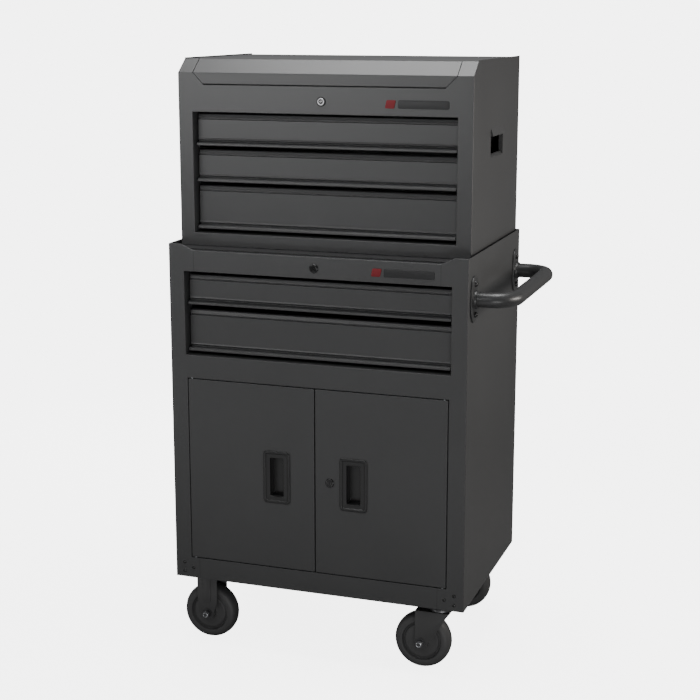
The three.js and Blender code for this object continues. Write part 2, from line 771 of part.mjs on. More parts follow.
function lid() {
  const half = chestInside - lidSideGap;
  const rear = chestBack - lidRearGap;
  const path = [
    [rear, lidTop],
    [creaseY, lidTop],
    [chestFront, creaseZ],
    [chestFront, creaseZ - lipHeight],
    [chestFront + lidLipReturn, creaseZ - lipHeight],
  ];
  const skin = prism('x', strip(path, sheet), -half, half);
  const low = creaseZ - lipHeight;
  const cutBack = creaseY + sheet + clearance;
  const beside = box(lipWidth, half + over, chestFront - over, cutBack, low - over, lidTop + over);
  const corner = prism('y', [
    [lipWidth - lipHeight, low],
    [lipWidth - lipHeight - over, low - over],
    [lipWidth + over, low - over],
    [lipWidth + over, creaseZ + over],
  ], chestFront - over, chestFront + lidLipReturn + over);
  const edge = box(
    half - sheet, half, creaseY + lidEdge.front, rear - lidEdge.back,
    lidTop - lidEdge.depth, lidTop - sheet / 2,
  );
  return join(cut(skin, beside, mirrored(beside), corner, mirrored(corner)), edge, mirrored(edge));
}

// ---------------------------------------------------------------- lid hinge

function knuckleSpan(i) {
  const pitch = hingeLength / hingeKnuckles;
  const from = -hingeLength / 2 + i * pitch;
  return [from + knuckleGap, from + pitch - knuckleGap];
}

function knuckles(parity) {
  const spans = Array.from({ length: hingeKnuckles }, (_, i) => i).filter((i) => i % 2 === parity);
  return spans.map((i) => rod('x', hingeY, hingeZ, knuckleRadius, ...knuckleSpan(i), rodSides));
}

function hingeBore() {
  const reach = hingeLength / 2 + over;
  return bore('x', hingeY, hingeZ, hingePinRadius, -reach, reach, rodSides);
}

function fixedLeaf() {
  const inner = chestBack + gap;
  const half = hingeLength / 2;
  const plateTop = hingeZ - knuckleRadius - 2 * knuckleGap;
  const plate = box(-half, half, inner, inner + sheet, hingeZ - hingeLeaf.fixed, plateTop);
  const tabs = [0, 2, 4, 6].map((i) => {
    const [from, to] = knuckleSpan(i);
    return box(from, to, inner, inner + sheet, hingeZ - hingeLeaf.tab, hingeZ);
  });
  return cut(join(plate, ...tabs, ...knuckles(0)), hingeBore());
}

function movingLeaf() {
  const half = hingeLength / 2;
  const plate = box(-half, half, chestBack - hingeLeaf.moving, chestBack - sheet, leafTop - sheet, leafTop);
  const tabs = [1, 3, 5].map((i) => {
    const [from, to] = knuckleSpan(i);
    return box(from, to, chestBack - 2 * sheet, hingeY, leafTop - sheet, leafTop);
  });
  return cut(join(plate, ...tabs, ...knuckles(1)), hingeBore());
}

function lidPin() {
  const half = hingeLength / 2 + knuckleGap;
  return rod('x', hingeY, hingeZ, hingePinRadius, -half, half, rodSides);
}

// ---------------------------------------------------------------- assembly

node('cabinet_front_frame', cabinetFrontFrame(), paint);
node('cabinet_right_side', cabinetSide(), paint);
node('cabinet_left_side', mirrored(cabinetSide()), paint);
node('cabinet_back', box(-insideX, insideX, back - sheet, back, base + gap, rimTop), paint);
node('cabinet_floor', cabinetFloor(), paint);
node('cabinet_divider', cabinetDivider(), paint);
node('cabinet_tray_top', cabinetTop(), paint);
const linerLow = trayTop + gap;
const linerTop = linerLow + linerThickness;
node('tray_liner', box(-liner.half, liner.half, liner.front, liner.back, linerLow, linerTop), foam);

const cabinetRunners = cabinetDrawers.map((drawer) => runnerLevel(drawer, base));
const cabinetBracket = () => slideBracket(
  cabinetOpening.half, insideX, front, cabinetBoxDepth,
  base + cabinetOpening.low + channel.inset, base + cabinetOpening.high - channel.inset, cabinetRunners,
);
node('cabinet_right_slide_bracket', cabinetBracket(), zinc);
node('cabinet_left_slide_bracket', mirrored(cabinetBracket()), zinc);

for (const drawer of cabinetDrawers) {
  node(`${drawer.name}_front`, drawerFront(drawer, base, cabinetOpening.half, front), paint);
  node(`${drawer.name}_box`, drawerBox(drawer, base, cabinetOpening.half, front, cabinetBoxDepth), paint);
}

node('right_door', cut(door(), lockBore(doorLock.x, base + doorLock.z, front)), paint);
node('left_door', mirrored(door()), paint);
node('right_door_pull', doorPull(), blackPlastic);
node('left_door_pull', mirrored(doorPull()), blackPlastic);
node('right_door_hinge_rod', hingeRod(), zinc);
node('left_door_hinge_rod', mirrored(hingeRod()), zinc);

node('cabinet_lock_barrel', lockBarrel(0, base + cabinetLockZ, front), blackPlastic);
node('cabinet_lock_plug', lockPlug(0, base + cabinetLockZ, front, cabinetCam), zinc);
node('door_lock_barrel', lockBarrel(doorLock.x, base + doorLock.z, front), blackPlastic);
node('door_lock_plug', lockPlug(doorLock.x, base + doorLock.z, front, doorCam), zinc);

node('push_handle', pushHandle(), paint);

for (const [row, y] of [['front', -casterY], ['rear', casterY]]) {
  const left = -casterX;
  node(`${row}_left_caster_fork`, rigidFork(left, y), paint);
  node(`${row}_left_wheel`, wheel(left, y), rubber);
  node(`${row}_left_axle`, axle(left, y), zinc);
  node(`${row}_right_caster_plate`, swivelPlate(casterX, y), zinc);
  node(`${row}_right_caster_fork`, swivelFork(casterX, y), paint);
  node(`${row}_right_wheel`, wheel(casterX - casterTrail, y), rubber);
  node(`${row}_right_axle`, axle(casterX - casterTrail, y), zinc);
}

node('chest_front_frame', chestFrontFrame(), paint);
node('chest_right_side', chestSide(), paint);
node('chest_left_side', mirrored(chestSide()), paint);
const backLow = chestBase + gap;
const backTop = leafTop - 2 * sheet;
node('chest_back', box(-chestInside, chestInside, chestBack - sheet, chestBack, backLow, backTop), paint);
node('chest_floor', chestFloor(), paint);
node('chest_till_floor', tillFloor(), paint);

const chestRunners = chestDrawers.map((drawer) => runnerLevel(drawer, chestBase));
const chestBracket = () => slideBracket(
  chestOpening.half, chestInside, chestFront, chestBoxDepth,
  chestBase + chestOpening.low + channel.inset, chestBase + chestOpening.high - channel.inset, chestRunners,
);
node('chest_right_slide_bracket', chestBracket(), zinc);
node('chest_left_slide_bracket', mirrored(chestBracket()), zinc);

for (const drawer of chestDrawers) {
  node(`${drawer.name}_front`, drawerFront(drawer, chestBase, chestOpening.half, chestFront), paint);
  const tub = drawerBox(drawer, chestBase, chestOpening.half, chestFront, chestBoxDepth);
  node(`${drawer.name}_box`, tub, paint);
}

node('chest_lock_barrel', lockBarrel(0, chestBase + chestLockZ, chestFront), chrome);
node('chest_lock_plug', lockPlug(0, chestBase + chestLockZ, chestFront, chestCam), chrome);
node('chest_lid', lid(), paint);
node('lid_hinge_fixed_leaf', fixedLeaf(), paint);
node('lid_hinge_moving_leaf', movingLeaf(), paint);
node('lid_hinge_pin', lidPin(), zinc);

// The origin is on the floor, under the middle of the whole object's box.
const bounds = new THREE.Box3().setFromObject(group);
const middle = bounds.getCenter(new THREE.Vector3());
group.position.set(-middle.x, -middle.y, -bounds.min.z);

export default group;
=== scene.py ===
"""Looks of the rolling tool chest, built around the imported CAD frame.

Metres, +Z up, the front faces -Y. Sheet-metal pieces are folded surfaces with rounded folds and a real
thickness; forks, tubes and wheels are swept or turned outlines.
"""

import json
import math

import bmesh
import bpy
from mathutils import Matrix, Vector


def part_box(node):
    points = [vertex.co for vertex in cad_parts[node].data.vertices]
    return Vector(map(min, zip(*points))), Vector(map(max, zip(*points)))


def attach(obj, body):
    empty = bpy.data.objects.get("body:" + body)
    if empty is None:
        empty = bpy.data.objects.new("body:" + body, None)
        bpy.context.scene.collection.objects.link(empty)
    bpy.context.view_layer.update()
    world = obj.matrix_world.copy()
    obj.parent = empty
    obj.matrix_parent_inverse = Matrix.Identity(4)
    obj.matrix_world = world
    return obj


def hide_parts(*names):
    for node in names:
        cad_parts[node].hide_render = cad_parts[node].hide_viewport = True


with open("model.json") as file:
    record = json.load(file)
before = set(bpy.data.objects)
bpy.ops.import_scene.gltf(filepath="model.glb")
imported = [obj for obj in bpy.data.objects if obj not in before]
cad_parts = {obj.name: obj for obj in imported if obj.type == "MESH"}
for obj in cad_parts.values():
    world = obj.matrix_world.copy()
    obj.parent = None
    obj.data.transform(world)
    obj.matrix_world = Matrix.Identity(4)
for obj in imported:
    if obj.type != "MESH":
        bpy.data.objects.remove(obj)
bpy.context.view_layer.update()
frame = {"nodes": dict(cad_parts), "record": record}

MM = 0.001
SHEET = 1.0 * MM
FOLD = 1.3 * MM
FOLD_ANGLE = 0.2  # radians: edges bent by more than this are folds, to be rounded
SHARP_ANGLE = 0.6  # radians: edges of a solid that are bent by more than this can be bevelled
NODES = frame["nodes"]


# ------------------------------------------------------------------ where the CAD pieces are


def lo(node):
    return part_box(node)[0]


def hi(node):
    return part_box(node)[1]


def mid(node):
    low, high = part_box(node)
    return (low + high) / 2


CAB_L, CAB_R = lo("cabinet_left_side").x, hi("cabinet_right_side").x
CAB_F = lo("cabinet_front_frame").y
BASE, RIM = lo("cabinet_front_frame").z, hi("cabinet_front_frame").z
TRAY = hi("cabinet_tray_top").z
CX = (CAB_L + CAB_R) / 2
CH_F = lo("chest_front_frame").y
CH_BASE = lo("chest_front_frame").z
LID_TOP = hi("chest_lid").z

CAB_HALF = (CAB_R - CAB_L) / 2
CH_HALF = CAB_HALF - 8 * MM
CREASE_Z = LID_TOP - 28 * MM
CREASE_Y = CH_F + 36 * MM
LIP_HALF = 289.2 * MM
LIP_HEIGHT = 23.5 * MM
SEAM = 1.5 * MM
RIM_OUTER = 303.5 * MM  # half widths between which the cabinet's rim slopes up to its corners
RIM_INNER = 274.5 * MM
JAMB = 30 * MM
DOOR_JAMB = 18 * MM
FRONT_RAISE = 1.2 * MM  # a drawer front stands this much above its CAD solid

WHEEL_RADIUS = 62.5 * MM
PLATE = 3 * MM
FORK_INSIDE = 26.5 * MM  # a fork leg's inner and outer faces, from the middle of the wheel
FORK_OUTSIDE = 29.5 * MM
RACE_HEIGHT = 8.5 * MM
TRAIL = 39 * MM  # from the kingpin to the axle

CAB_OPEN = (297.5 * MM, BASE + 511.8 * MM, BASE + 696 * MM)
DOOR_OPEN = (294.5 * MM, BASE + 48 * MM, BASE + 460.5 * MM)
CH_OPEN = (292 * MM, CH_BASE + 27.7 * MM, CH_BASE + 287 * MM)


# ------------------------------------------------------------------ materials


def material(name, color, roughness, metallic=0.0, grain=0.0, grain_size=0.0006, mottle=0.05,
             spread=0.04, ribs=None):
    m = bpy.data.materials.new(name)
    m.use_nodes = True
    nt = m.node_tree
    nt.nodes.clear()
    out = nt.nodes.new("ShaderNodeOutputMaterial")
    bsdf = nt.nodes.new("ShaderNodeBsdfPrincipled")
    nt.links.new(bsdf.outputs[0], out.inputs[0])
    bsdf.inputs["Metallic"].default_value = metallic
    where = nt.nodes.new("ShaderNodeTexCoord")

    # slow, faint changes of tone, as a sprayed or moulded surface has
    cloud = nt.nodes.new("ShaderNodeTexNoise")
    cloud.inputs["Scale"].default_value = 7.0
    cloud.inputs["Detail"].default_value = 4.0
    nt.links.new(where.outputs["Object"], cloud.inputs["Vector"])
    tone = nt.nodes.new("ShaderNodeValToRGB")
    dark = [c * (1 - mottle) for c in color]
    light = [min(1, c * (1 + mottle)) for c in color]
    tone.color_ramp.elements[0].position = 0.3
    tone.color_ramp.elements[1].position = 0.7
    tone.color_ramp.elements[0].color = (*dark, 1)
    tone.color_ramp.elements[1].color = (*light, 1)
    nt.links.new(cloud.outputs["Fac"], tone.inputs["Fac"])
    nt.links.new(tone.outputs["Color"], bsdf.inputs["Base Color"])

    gloss = nt.nodes.new("ShaderNodeMapRange")
    gloss.inputs["To Min"].default_value = roughness - spread
    gloss.inputs["To Max"].default_value = roughness + spread
    nt.links.new(cloud.outputs["Fac"], gloss.inputs["Value"])
    nt.links.new(gloss.outputs["Result"], bsdf.inputs["Roughness"])

    if grain:
        fine = nt.nodes.new("ShaderNodeTexNoise")
        fine.inputs["Scale"].default_value = 1 / grain_size
        fine.inputs["Detail"].default_value = 2.0
        nt.links.new(where.outputs["Object"], fine.inputs["Vector"])
        bump = nt.nodes.new("ShaderNodeBump")
        bump.inputs["Strength"].default_value = grain
        bump.inputs["Distance"].default_value = 0.0002
        nt.links.new(fine.outputs["Fac"], bump.inputs["Height"])
        nt.links.new(bump.outputs["Normal"], bsdf.inputs["Normal"])
    if ribs:
        wave = nt.nodes.new("ShaderNodeTexWave")
        wave.inputs["Scale"].default_value = ribs
        nt.links.new(where.outputs["Object"], wave.inputs["Vector"])
        bump = nt.nodes.new("ShaderNodeBump")
        bump.inputs["Strength"].default_value = 0.5
        bump.inputs["Distance"].default_value = 0.0006
        nt.links.new(wave.outputs["Fac"], bump.inputs["Height"])
        nt.links.new(bump.outputs["Normal"], bsdf.inputs["Normal"])
    return m


PAINT = material("powder_coat", (0.045, 0.0455, 0.0465), 0.46, 0.0, grain=0.25, grain_size=0.0011)
ZINC = material("zinc_plate", (0.42, 0.43, 0.45), 0.38, 0.9, grain=0.08, mottle=0.12)
CHROME = material("chrome_plate", (0.62, 0.62, 0.63), 0.22, 1.0, mottle=0.04)
BLACK = material("black_plastic", (0.018, 0.018, 0.019), 0.42, 0.0, grain=0.15)
# the wheels' near-black rubber, set lighter to make up for the dim light near the floor: partly its own
# colour, partly painted light
RUBBER_LIGHTENED = material("caster_rubber", (0.06, 0.06, 0.061), 0.55, 0.0, grain=0.2)
LINER = material("tray_liner", (0.022, 0.022, 0.023), 0.75, 0.0, ribs=60.0)


# ------------------------------------------------------------------ building meshes


def piece(name, bm, mat, body, smooth=32.0, replaces=(), sheet=0.0, flat=False):
    """A mesh made into an object that rides on a CAD body. A sheet is given its thickness behind its face."""
    for e in bm.edges:
        e.smooth = len(e.link_faces) == 2 and e.calc_face_angle(0) < math.radians(smooth)
    for f in bm.faces:
        f.smooth = True
    mesh = bpy.data.meshes.new(name)
    bm.to_mesh(mesh)
    bm.free()
    ob = bpy.data.objects.new(name, mesh)
    bpy.context.scene.collection.objects.link(ob)
    mesh.materials.append(mat)
    if sheet:
        solid = ob.modifiers.new("thickness", "SOLIDIFY")
        solid.thickness = sheet
        solid.offset = -1
        solid.use_even_offset = True
    if sheet or flat:
        # wide flat faces keep their own normals next to narrow rounded folds
        even = ob.modifiers.new("flat_faces", "WEIGHTED_NORMAL")
        even.keep_sharp = True
    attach(ob, body)
    if replaces:
        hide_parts(*replaces)


class Folded:
    """A folded sheet: flat faces that share corners. Folds are rounded; the sheet gets its thickness when
    piece() makes it into an object.
    """

    def __init__(self):
        self.bm = bmesh.new()
        self.at = {}

    def vert(self, p):
        key = tuple(round(c * 1e6) for c in p)
        if key not in self.at:
            self.at[key] = self.bm.verts.new(p)
        return self.at[key]

    def face(self, *points):
        self.bm.faces.new([self.vert(p) for p in points])

    def grid(self, point, us, vs, keep):
        """Quads over a grid; point(u, v) gives the corner and keep(i, j) says which cells are there."""
        for i in range(len(us) - 1):
            for j in range(len(vs) - 1):
                if keep(i, j):
                    self.face(point(us[i], vs[j]), point(us[i + 1], vs[j]), point(us[i + 1], vs[j + 1]),
                              point(us[i], vs[j + 1]))

    def done(self, radius, outward, segments=3):
        bm = self.bm
        bmesh.ops.recalc_face_normals(bm, faces=bm.faces)
        folds = [e for e in bm.edges if len(e.link_faces) == 2 and e.calc_face_angle(0) > FOLD_ANGLE]
        bmesh.ops.bevel(bm, geom=folds, offset=radius, segments=segments, profile=0.5, affect="EDGES",
                        clamp_overlap=False, miter_inner="SHARP")
        bmesh.ops.recalc_face_normals(bm, faces=bm.faces)
        probe = max(bm.faces, key=lambda f: f.calc_area())
        if probe.normal.dot(Vector(outward)) < 0:
            bmesh.ops.reverse_faces(bm, faces=bm.faces)
        return bm

    def flange(self, select, move):
        """Extends the open edges that select(a, b) picks: each corner goes to move(corner)."""
        picked = [e for e in self.bm.edges if len(e.link_faces) == 1 and select(e.verts[0].co, e.verts[1].co)]
        grown = bmesh.ops.extrude_edge_only(self.bm, edges=picked)["geom"]
        for v in [g for g in grown if isinstance(g, bmesh.types.BMVert)]:
            v.co = Vector(move(v.co.copy()))
        self.at = {}


def fillet(path, radii, steps=4, closed=False):
    """Rounds the corners of a 2-D path. radii is one number or one for each point."""
    n = len(path)
    r = [radii] * n if isinstance(radii, (int, float)) else list(radii)
    out = []
    for i, (x, y) in enumerate(path):
        if (not closed and i in (0, n - 1)) or r[i] <= 0:
            out.append((x, y))
            continue
        p, a, b = Vector((x, y)), Vector(path[i - 1]), Vector(path[(i + 1) % n])
        u, v = (a - p), (b - p)
        lu, lv = u.length, v.length
        u.normalize()
        v.normalize()
        half = math.acos(max(-1, min(1, u.dot(v)))) / 2
        cut = min(r[i] / math.tan(half), lu * 0.49, lv * 0.49)
        rad = cut * math.tan(half)
        centre = p + (u + v).normalized() * (rad / math.sin(half))
        s, e = p + u * cut - centre, p + v * cut - centre
        turn = math.atan2(s.x * e.y - s.y * e.x, s.dot(e))
        for k in range(steps + 1):
            t = turn * k / steps
            q = Vector((s.x * math.cos(t) - s.y * math.sin(t), s.x * math.sin(t) + s.y * math.cos(t)))
            out.append(tuple(centre + q))
    return out


def offset(path, d):
    """The open path moved to its left by d."""
    out = []
    for i, (x, y) in enumerate(path):
        before = Vector(path[i]) - Vector(path[i - 1]) if i else Vector(path[1]) - Vector(path[0])
        after = Vector(path[i + 1]) - Vector(path[i]) if i < len(path) - 1 else before
        nb = Vector((-before.y, before.x)).normalized()
        na = Vector((-after.y, after.x)).normalized()
        k = d / (1 + nb.dot(na))
        out.append((x + (nb.x + na.x) * k, y + (nb.y + na.y) * k))
    return out


def in_mm(profile):
    return [(a * MM, b * MM) for a, b in profile]


def rectangle(cx, cy, half_w, half_h):
    return [(cx - half_w, cy - half_h), (cx + half_w, cy - half_h), (cx + half_w, cy + half_h),
            (cx - half_w, cy + half_h)]


AXES = {
    "x": lambda a, b, c: (c, a, b),
    "y": lambda a, b, c: (a, c, b),
    "z": lambda a, b, c: (a, b, c),
}


def prism(bm, outline, axis, start, end, holes=(), bevel=0.0):
    """Adds a solid: the outline ((y, z), (x, z) or (x, y) pairs) swept along axis."""
    place = AXES[axis]
    fresh = bmesh.new()
    loops = [list(outline), *map(list, holes)]
    edges = []
    for loop in loops:
        vs = [fresh.verts.new(place(a, b, start)) for a, b in loop]
        edges += [fresh.edges.new((vs[i], vs[(i + 1) % len(vs)])) for i in range(len(vs))]
    if holes:
        bmesh.ops.triangle_fill(fresh, edges=edges, use_beauty=True)
    else:
        fresh.faces.new(list(fresh.verts))
    caps = list(fresh.faces)
    swept = bmesh.ops.extrude_face_region(fresh, geom=caps)
    shift = Vector(place(0, 0, end)) - Vector(place(0, 0, start))
    moved = [v for v in swept["geom"] if isinstance(v, bmesh.types.BMVert)]
    bmesh.ops.translate(fresh, verts=moved, vec=shift)
    bmesh.ops.recalc_face_normals(fresh, faces=fresh.faces)
    if bevel:
        sharp = [e for e in fresh.edges if len(e.link_faces) == 2 and e.calc_face_angle(0) > SHARP_ANGLE]
        bmesh.ops.bevel(fresh, geom=sharp, offset=bevel, segments=2, profile=0.5, affect="EDGES",
                        clamp_overlap=True)
    mesh = bpy.data.meshes.new("part")
    fresh.to_mesh(mesh)
    fresh.free()
    bm.from_mesh(mesh)
    bpy.data.meshes.remove(mesh)


def block(bm, x0, x1, y0, y1, z0, z1):
    prism(bm, [(x0, y0), (x1, y0), (x1, y1), (x0, y1)], "z", z0, z1)


def ring(n, r, cx=0.0, cy=0.0, phase=0.0):
    return [(cx + r * math.cos(math.tau * (i + phase) / n), cy + r * math.sin(math.tau * (i + phase) / n))
            for i in range(n)]


def turned(bm, profile, axis, centre, segments=48, closed=True):
    """Adds a turned solid. The profile holds (radius, distance along the axis)."""
    places = {"x": lambda a, r, s: (a, r, s), "y": lambda a, r, s: (r, a, s), "z": lambda a, r, s: (r, s, a)}
    place = places[axis]
    c = Vector(centre)
    rings = []
    for r, a in profile:
        if r == 0:
            rings.append([bm.verts.new(c + Vector(place(a, 0, 0)))])
        else:
            rings.append([bm.verts.new(c + Vector(place(a, r * math.cos(math.tau * k / segments),
                                                        r * math.sin(math.tau * k / segments))))
                          for k in range(segments)])
    pairs = list(zip(rings, rings[1:]))
    if closed:
        pairs.append((rings[-1], rings[0]))
    for a, b in pairs:
        for k in range(segments):
            j = (k + 1) % segments
            if len(a) == 1 and len(b) == 1:
                continue
            if len(a) == 1:
                bm.faces.new((a[0], b[k], b[j]))
            elif len(b) == 1:
                bm.faces.new((a[k], b[0], a[j]))
            else:
                bm.faces.new((a[k], b[k], b[j], a[j]))
    bmesh.ops.recalc_face_normals(bm, faces=bm.faces)


def swept_tube(bm, centreline, radius, sides=32):
    """Adds a round bar along a polyline, with flat ends."""
    pts = [Vector(p) for p in centreline]
    rings = []
    up = Vector((0, 0, 1))
    for i, p in enumerate(pts):
        a = pts[max(i - 1, 0)]
        b = pts[min(i + 1, len(pts) - 1)]
        t = (b - a).normalized()
        side = t.cross(up).normalized()
        rings.append([bm.verts.new(p + side * radius * math.cos(math.tau * k / sides)
                                   + up * radius * math.sin(math.tau * k / sides)) for k in range(sides)])
    for a, b in zip(rings, rings[1:]):
        for k in range(sides):
            j = (k + 1) % sides
            bm.faces.new((a[k], b[k], b[j], a[j]))
    bm.faces.new(rings[0])
    bm.faces.new(rings[-1])
    bmesh.ops.recalc_face_normals(bm, faces=bm.faces)


# ------------------------------------------------------------------ cabinet


CLOSE = 1e-5


def near(value, target):
    return abs(value - target) < CLOSE


def in_opening(p, half, low, high):
    return abs(p.x - CX) < half + CLOSE and low - CLOSE < p.z < high + CLOSE


def cabinet_frame():
    face = Folded()
    half_d, d0, d1 = CAB_OPEN
    half_o, o0, o1 = DOOR_OPEN
    xs = [-CAB_HALF, -RIM_OUTER, -half_d, -half_o, -RIM_INNER]
    xs += [-x for x in reversed(xs)]
    zs = [BASE, o0, o1, d0, d1, None]

    def top(u):
        k = min(1, max(0, (abs(u) - RIM_INNER) / (RIM_OUTER - RIM_INNER)))
        return TRAY + (RIM - TRAY) * k

    def point(u, v):
        return (CX + u, CAB_F, top(u) if v is None else v)

    def keep(i, j):
        x = abs(xs[i] + xs[i + 1]) / 2
        return not ((j == 1 and x < half_o) or (j == 3 and x < half_d))

    face.grid(point, xs, zs, keep)

    def inside(half, low, high):
        return lambda a, b: in_opening(a, half, low, high) and in_opening(b, half, low, high)

    face.flange(inside(half_d, d0, d1), lambda p: (p.x, p.y + JAMB, p.z))
    face.flange(lambda a, b: inside(half_o, o0, o1)(a, b) and near(a.y, CAB_F) and near(b.y, CAB_F),
                lambda p: (p.x, p.y + DOOR_JAMB, p.z))
    rim = 1.4 * MM
    face.flange(lambda a, b: near(a.y, CAB_F) and near(b.y, CAB_F), lambda p: (p.x, p.y + rim, p.z))
    piece("cabinet_front", face.done(1.25 * MM, outward=(0, -1, 0)), PAINT, "cabinet", sheet=SHEET,
          replaces=["cabinet_front_frame"])


def seam_lines():
    """The joints between the stiles and the rails: a fine scored line, drawn as a near-black strip that
    paints the shade inside the joint.
    """
    bm = bmesh.new()
    for side in (-1, 1):
        x = CX + side * RIM_INNER
        for z0, z1 in ((CAB_OPEN[2] + FOLD, TRAY - FOLD), (BASE + 0.5 * MM, DOOR_OPEN[1] - FOLD)):
            block(bm, x - 0.35 * MM, x + 0.35 * MM, CAB_F - 0.06 * MM, CAB_F + 0.5 * MM, z0, z1)
    piece("rail_seams", bm, SEAM_SHADE, "cabinet")


def rivets():
    bm = bmesh.new()
    for side in (-1, 1):
        for x, z in ((311.5, 34.5), (311.5, 14), (290, 24)):
            dome = [(0, -2.1), (1.7, -1.95), (3.0, -1.45), (3.9, -0.5), (4.0, 0.6), (0, 0.6)]
            turned(bm, in_mm(dome), "y", (CX + side * x * MM, CAB_F, BASE + z * MM), 20, closed=False)
    piece("corner_rivets", bm, BLACK_GLOSS, "cabinet")


def door(side):
    name = "right_door" if side > 0 else "left_door"
    low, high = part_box(name)
    near_x, far_x = (low.x, high.x) if side > 0 else (high.x, low.x)
    pull = mid(name + "_pull")
    hole_w, hole_h = 27 * MM, 54 * MM
    px0, px1 = pull.x - hole_w, pull.x + hole_w
    pz0, pz1 = pull.z - hole_h, pull.z + hole_h
    hem = 14 * MM
    xs = sorted([near_x, far_x, px0, px1])
    zs = [low.z, pz0, pz1, high.z]
    face = Folded()
    face.grid(lambda u, v: (u, low.y, v), xs, zs, lambda i, j: not (i == 1 and j == 1))
    edge = lambda a, b: any(all(near(getattr(p, c), t) for p in (a, b)) for c, t in
                            (("x", low.x), ("x", high.x), ("z", low.z), ("z", high.z)))
    face.flange(edge, lambda p: (p.x, high.y, p.z))

    def inward(p):
        x, z = p.x, p.z
        if near(x, low.x):
            x += hem
        if near(x, high.x):
            x -= hem
        if near(z, low.z):
            z += hem
        if near(z, high.z):
            z -= hem
        return (x, p.y, z)

    face.flange(lambda a, b: near(a.y, high.y) and near(b.y, high.y), inward)
    piece(name + "_skin", face.done(1.5 * MM, outward=(0, -1, 0)), PAINT, name + "_leaf", sheet=SHEET,
          replaces=[name])


def rounded_rect(cx, cz, w, h, r, steps=6):
    return fillet(rectangle(cx, cz, w / 2, h / 2), r, steps, closed=True)


def door_pull(side):
    """A moulded recess: a raised rim that rolls into a deep cup, like a picture frame round a slot."""
    name = "right_door_pull" if side > 0 else "left_door_pull"
    low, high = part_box(name)
    c = (low + high) / 2
    w, h = high.x - low.x, high.z - low.z
    f = low.y
    loops = []

    def loop(width, height, r, y, sag=0.0):
        points = []
        for x, z in rounded_rect(c.x, c.z, width, height, r, 7):
            k = (x - c.x) / (width / 2)
            points.append((x, y, z - sag * (1 - k * k) * (z < c.z)))
        loops.append(points)

    loop(w, h, 8 * MM, f + 2.6 * MM)
    loop(w, h, 8 * MM, f + 1.4 * MM)
    loop(w - 1.0 * MM, h - 1.0 * MM, 7.6 * MM, f + 0.6 * MM)
    loop(w - 3.2 * MM, h - 3.2 * MM, 6.8 * MM, f)
    loop(w - 9.0 * MM, h - 9.0 * MM, 5.5 * MM, f)
    loop(w - 11.5 * MM, h - 11.5 * MM, 5 * MM, f + 0.7 * MM)
    loop(w - 13.5 * MM, h - 13.5 * MM, 4.5 * MM, f + 2.2 * MM)
    loop(35 * MM, 89 * MM, 4 * MM, f + 2.6 * MM, 1.2 * MM)
    loop(31.5 * MM, 86 * MM, 3 * MM, f + 3.0 * MM, 1.6 * MM)
    loop(29.5 * MM, 84 * MM, 2.6 * MM, f + 4.6 * MM, 1.6 * MM)
    loop(29 * MM, 83 * MM, 2.5 * MM, f + 7 * MM, 1.2 * MM)
    loop(28.5 * MM, 83 * MM, 2.5 * MM, f + 22.5 * MM)
    bm = bmesh.new()
    rows = [[bm.verts.new(p) for p in row] for row in loops]
    for a, b in zip(rows, rows[1:]):
        for k in range(len(a)):
            j = (k + 1) % len(a)
            bm.faces.new((a[k], a[j], b[j], b[k]))
    bm.faces.new(rows[-1])
    bmesh.ops.recalc_face_normals(bm, faces=bm.faces)
    probe = min(bm.faces, key=lambda q: q.calc_center_median().y)
    if probe.normal.y > 0:
        bmesh.ops.reverse_faces(bm, faces=bm.faces)
    body = "right_door_leaf" if side > 0 else "left_door_leaf"
    piece(name + "_cup", bm, BLACK_SATIN, body, sheet=1.4 * MM, replaces=[name])


# ------------------------------------------------------------------ drawers


def drawer_front(name, open_half):
    low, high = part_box(name + "_front")
    f = low.y - 10 * MM  # the outline's depths count from a plane 10 mm in front of the pull lip
    top, bottom = high.z + FRONT_RAISE, low.z
    rear = high.y
    down = [(29, 0), (24.4, 1.2), (20.6, 8.6), (24.0, 9.2), (24.0, 10.8), (20, 11.6)]
    up = [(20, 16), (18.5, 12.9), (25.4, 8.6), (13.4, 7.2), (10, 4.8), (10, 0), (19, 0)]
    path = [(rear, top)]
    path += [(f + a * MM, top - b * MM) for a, b in down]
    path += [(f + a * MM, bottom + b * MM) for a, b in up]
    radii = [0, 0.8, 1.0, 0.8, 0.5, 0.5, 0.8, 1.5, 0.9, 1.2, 2.2, 2.4, 1.2, 0]
    outer = fillet(path, [r * MM for r in radii], 4)
    inner = offset(outer, 0.9 * MM)
    gap, overlap, cap_t = 4 * MM, 0.8 * MM, 1.4 * MM
    half = open_half - gap
    bm = bmesh.new()
    prism(bm, outer + inner[::-1], "x", CX - half + overlap, CX + half - overlap)
    cap = outer + [(rear, bottom)]
    for s in (-1, 1):
        x0, x1 = sorted((CX + s * half, CX + s * (half - cap_t)))
        prism(bm, cap, "x", x0, x1, bevel=0.35 * MM)
    piece(name + "_face", bm, PAINT, name, replaces=[name + "_front"], flat=True)


# ------------------------------------------------------------------ chest


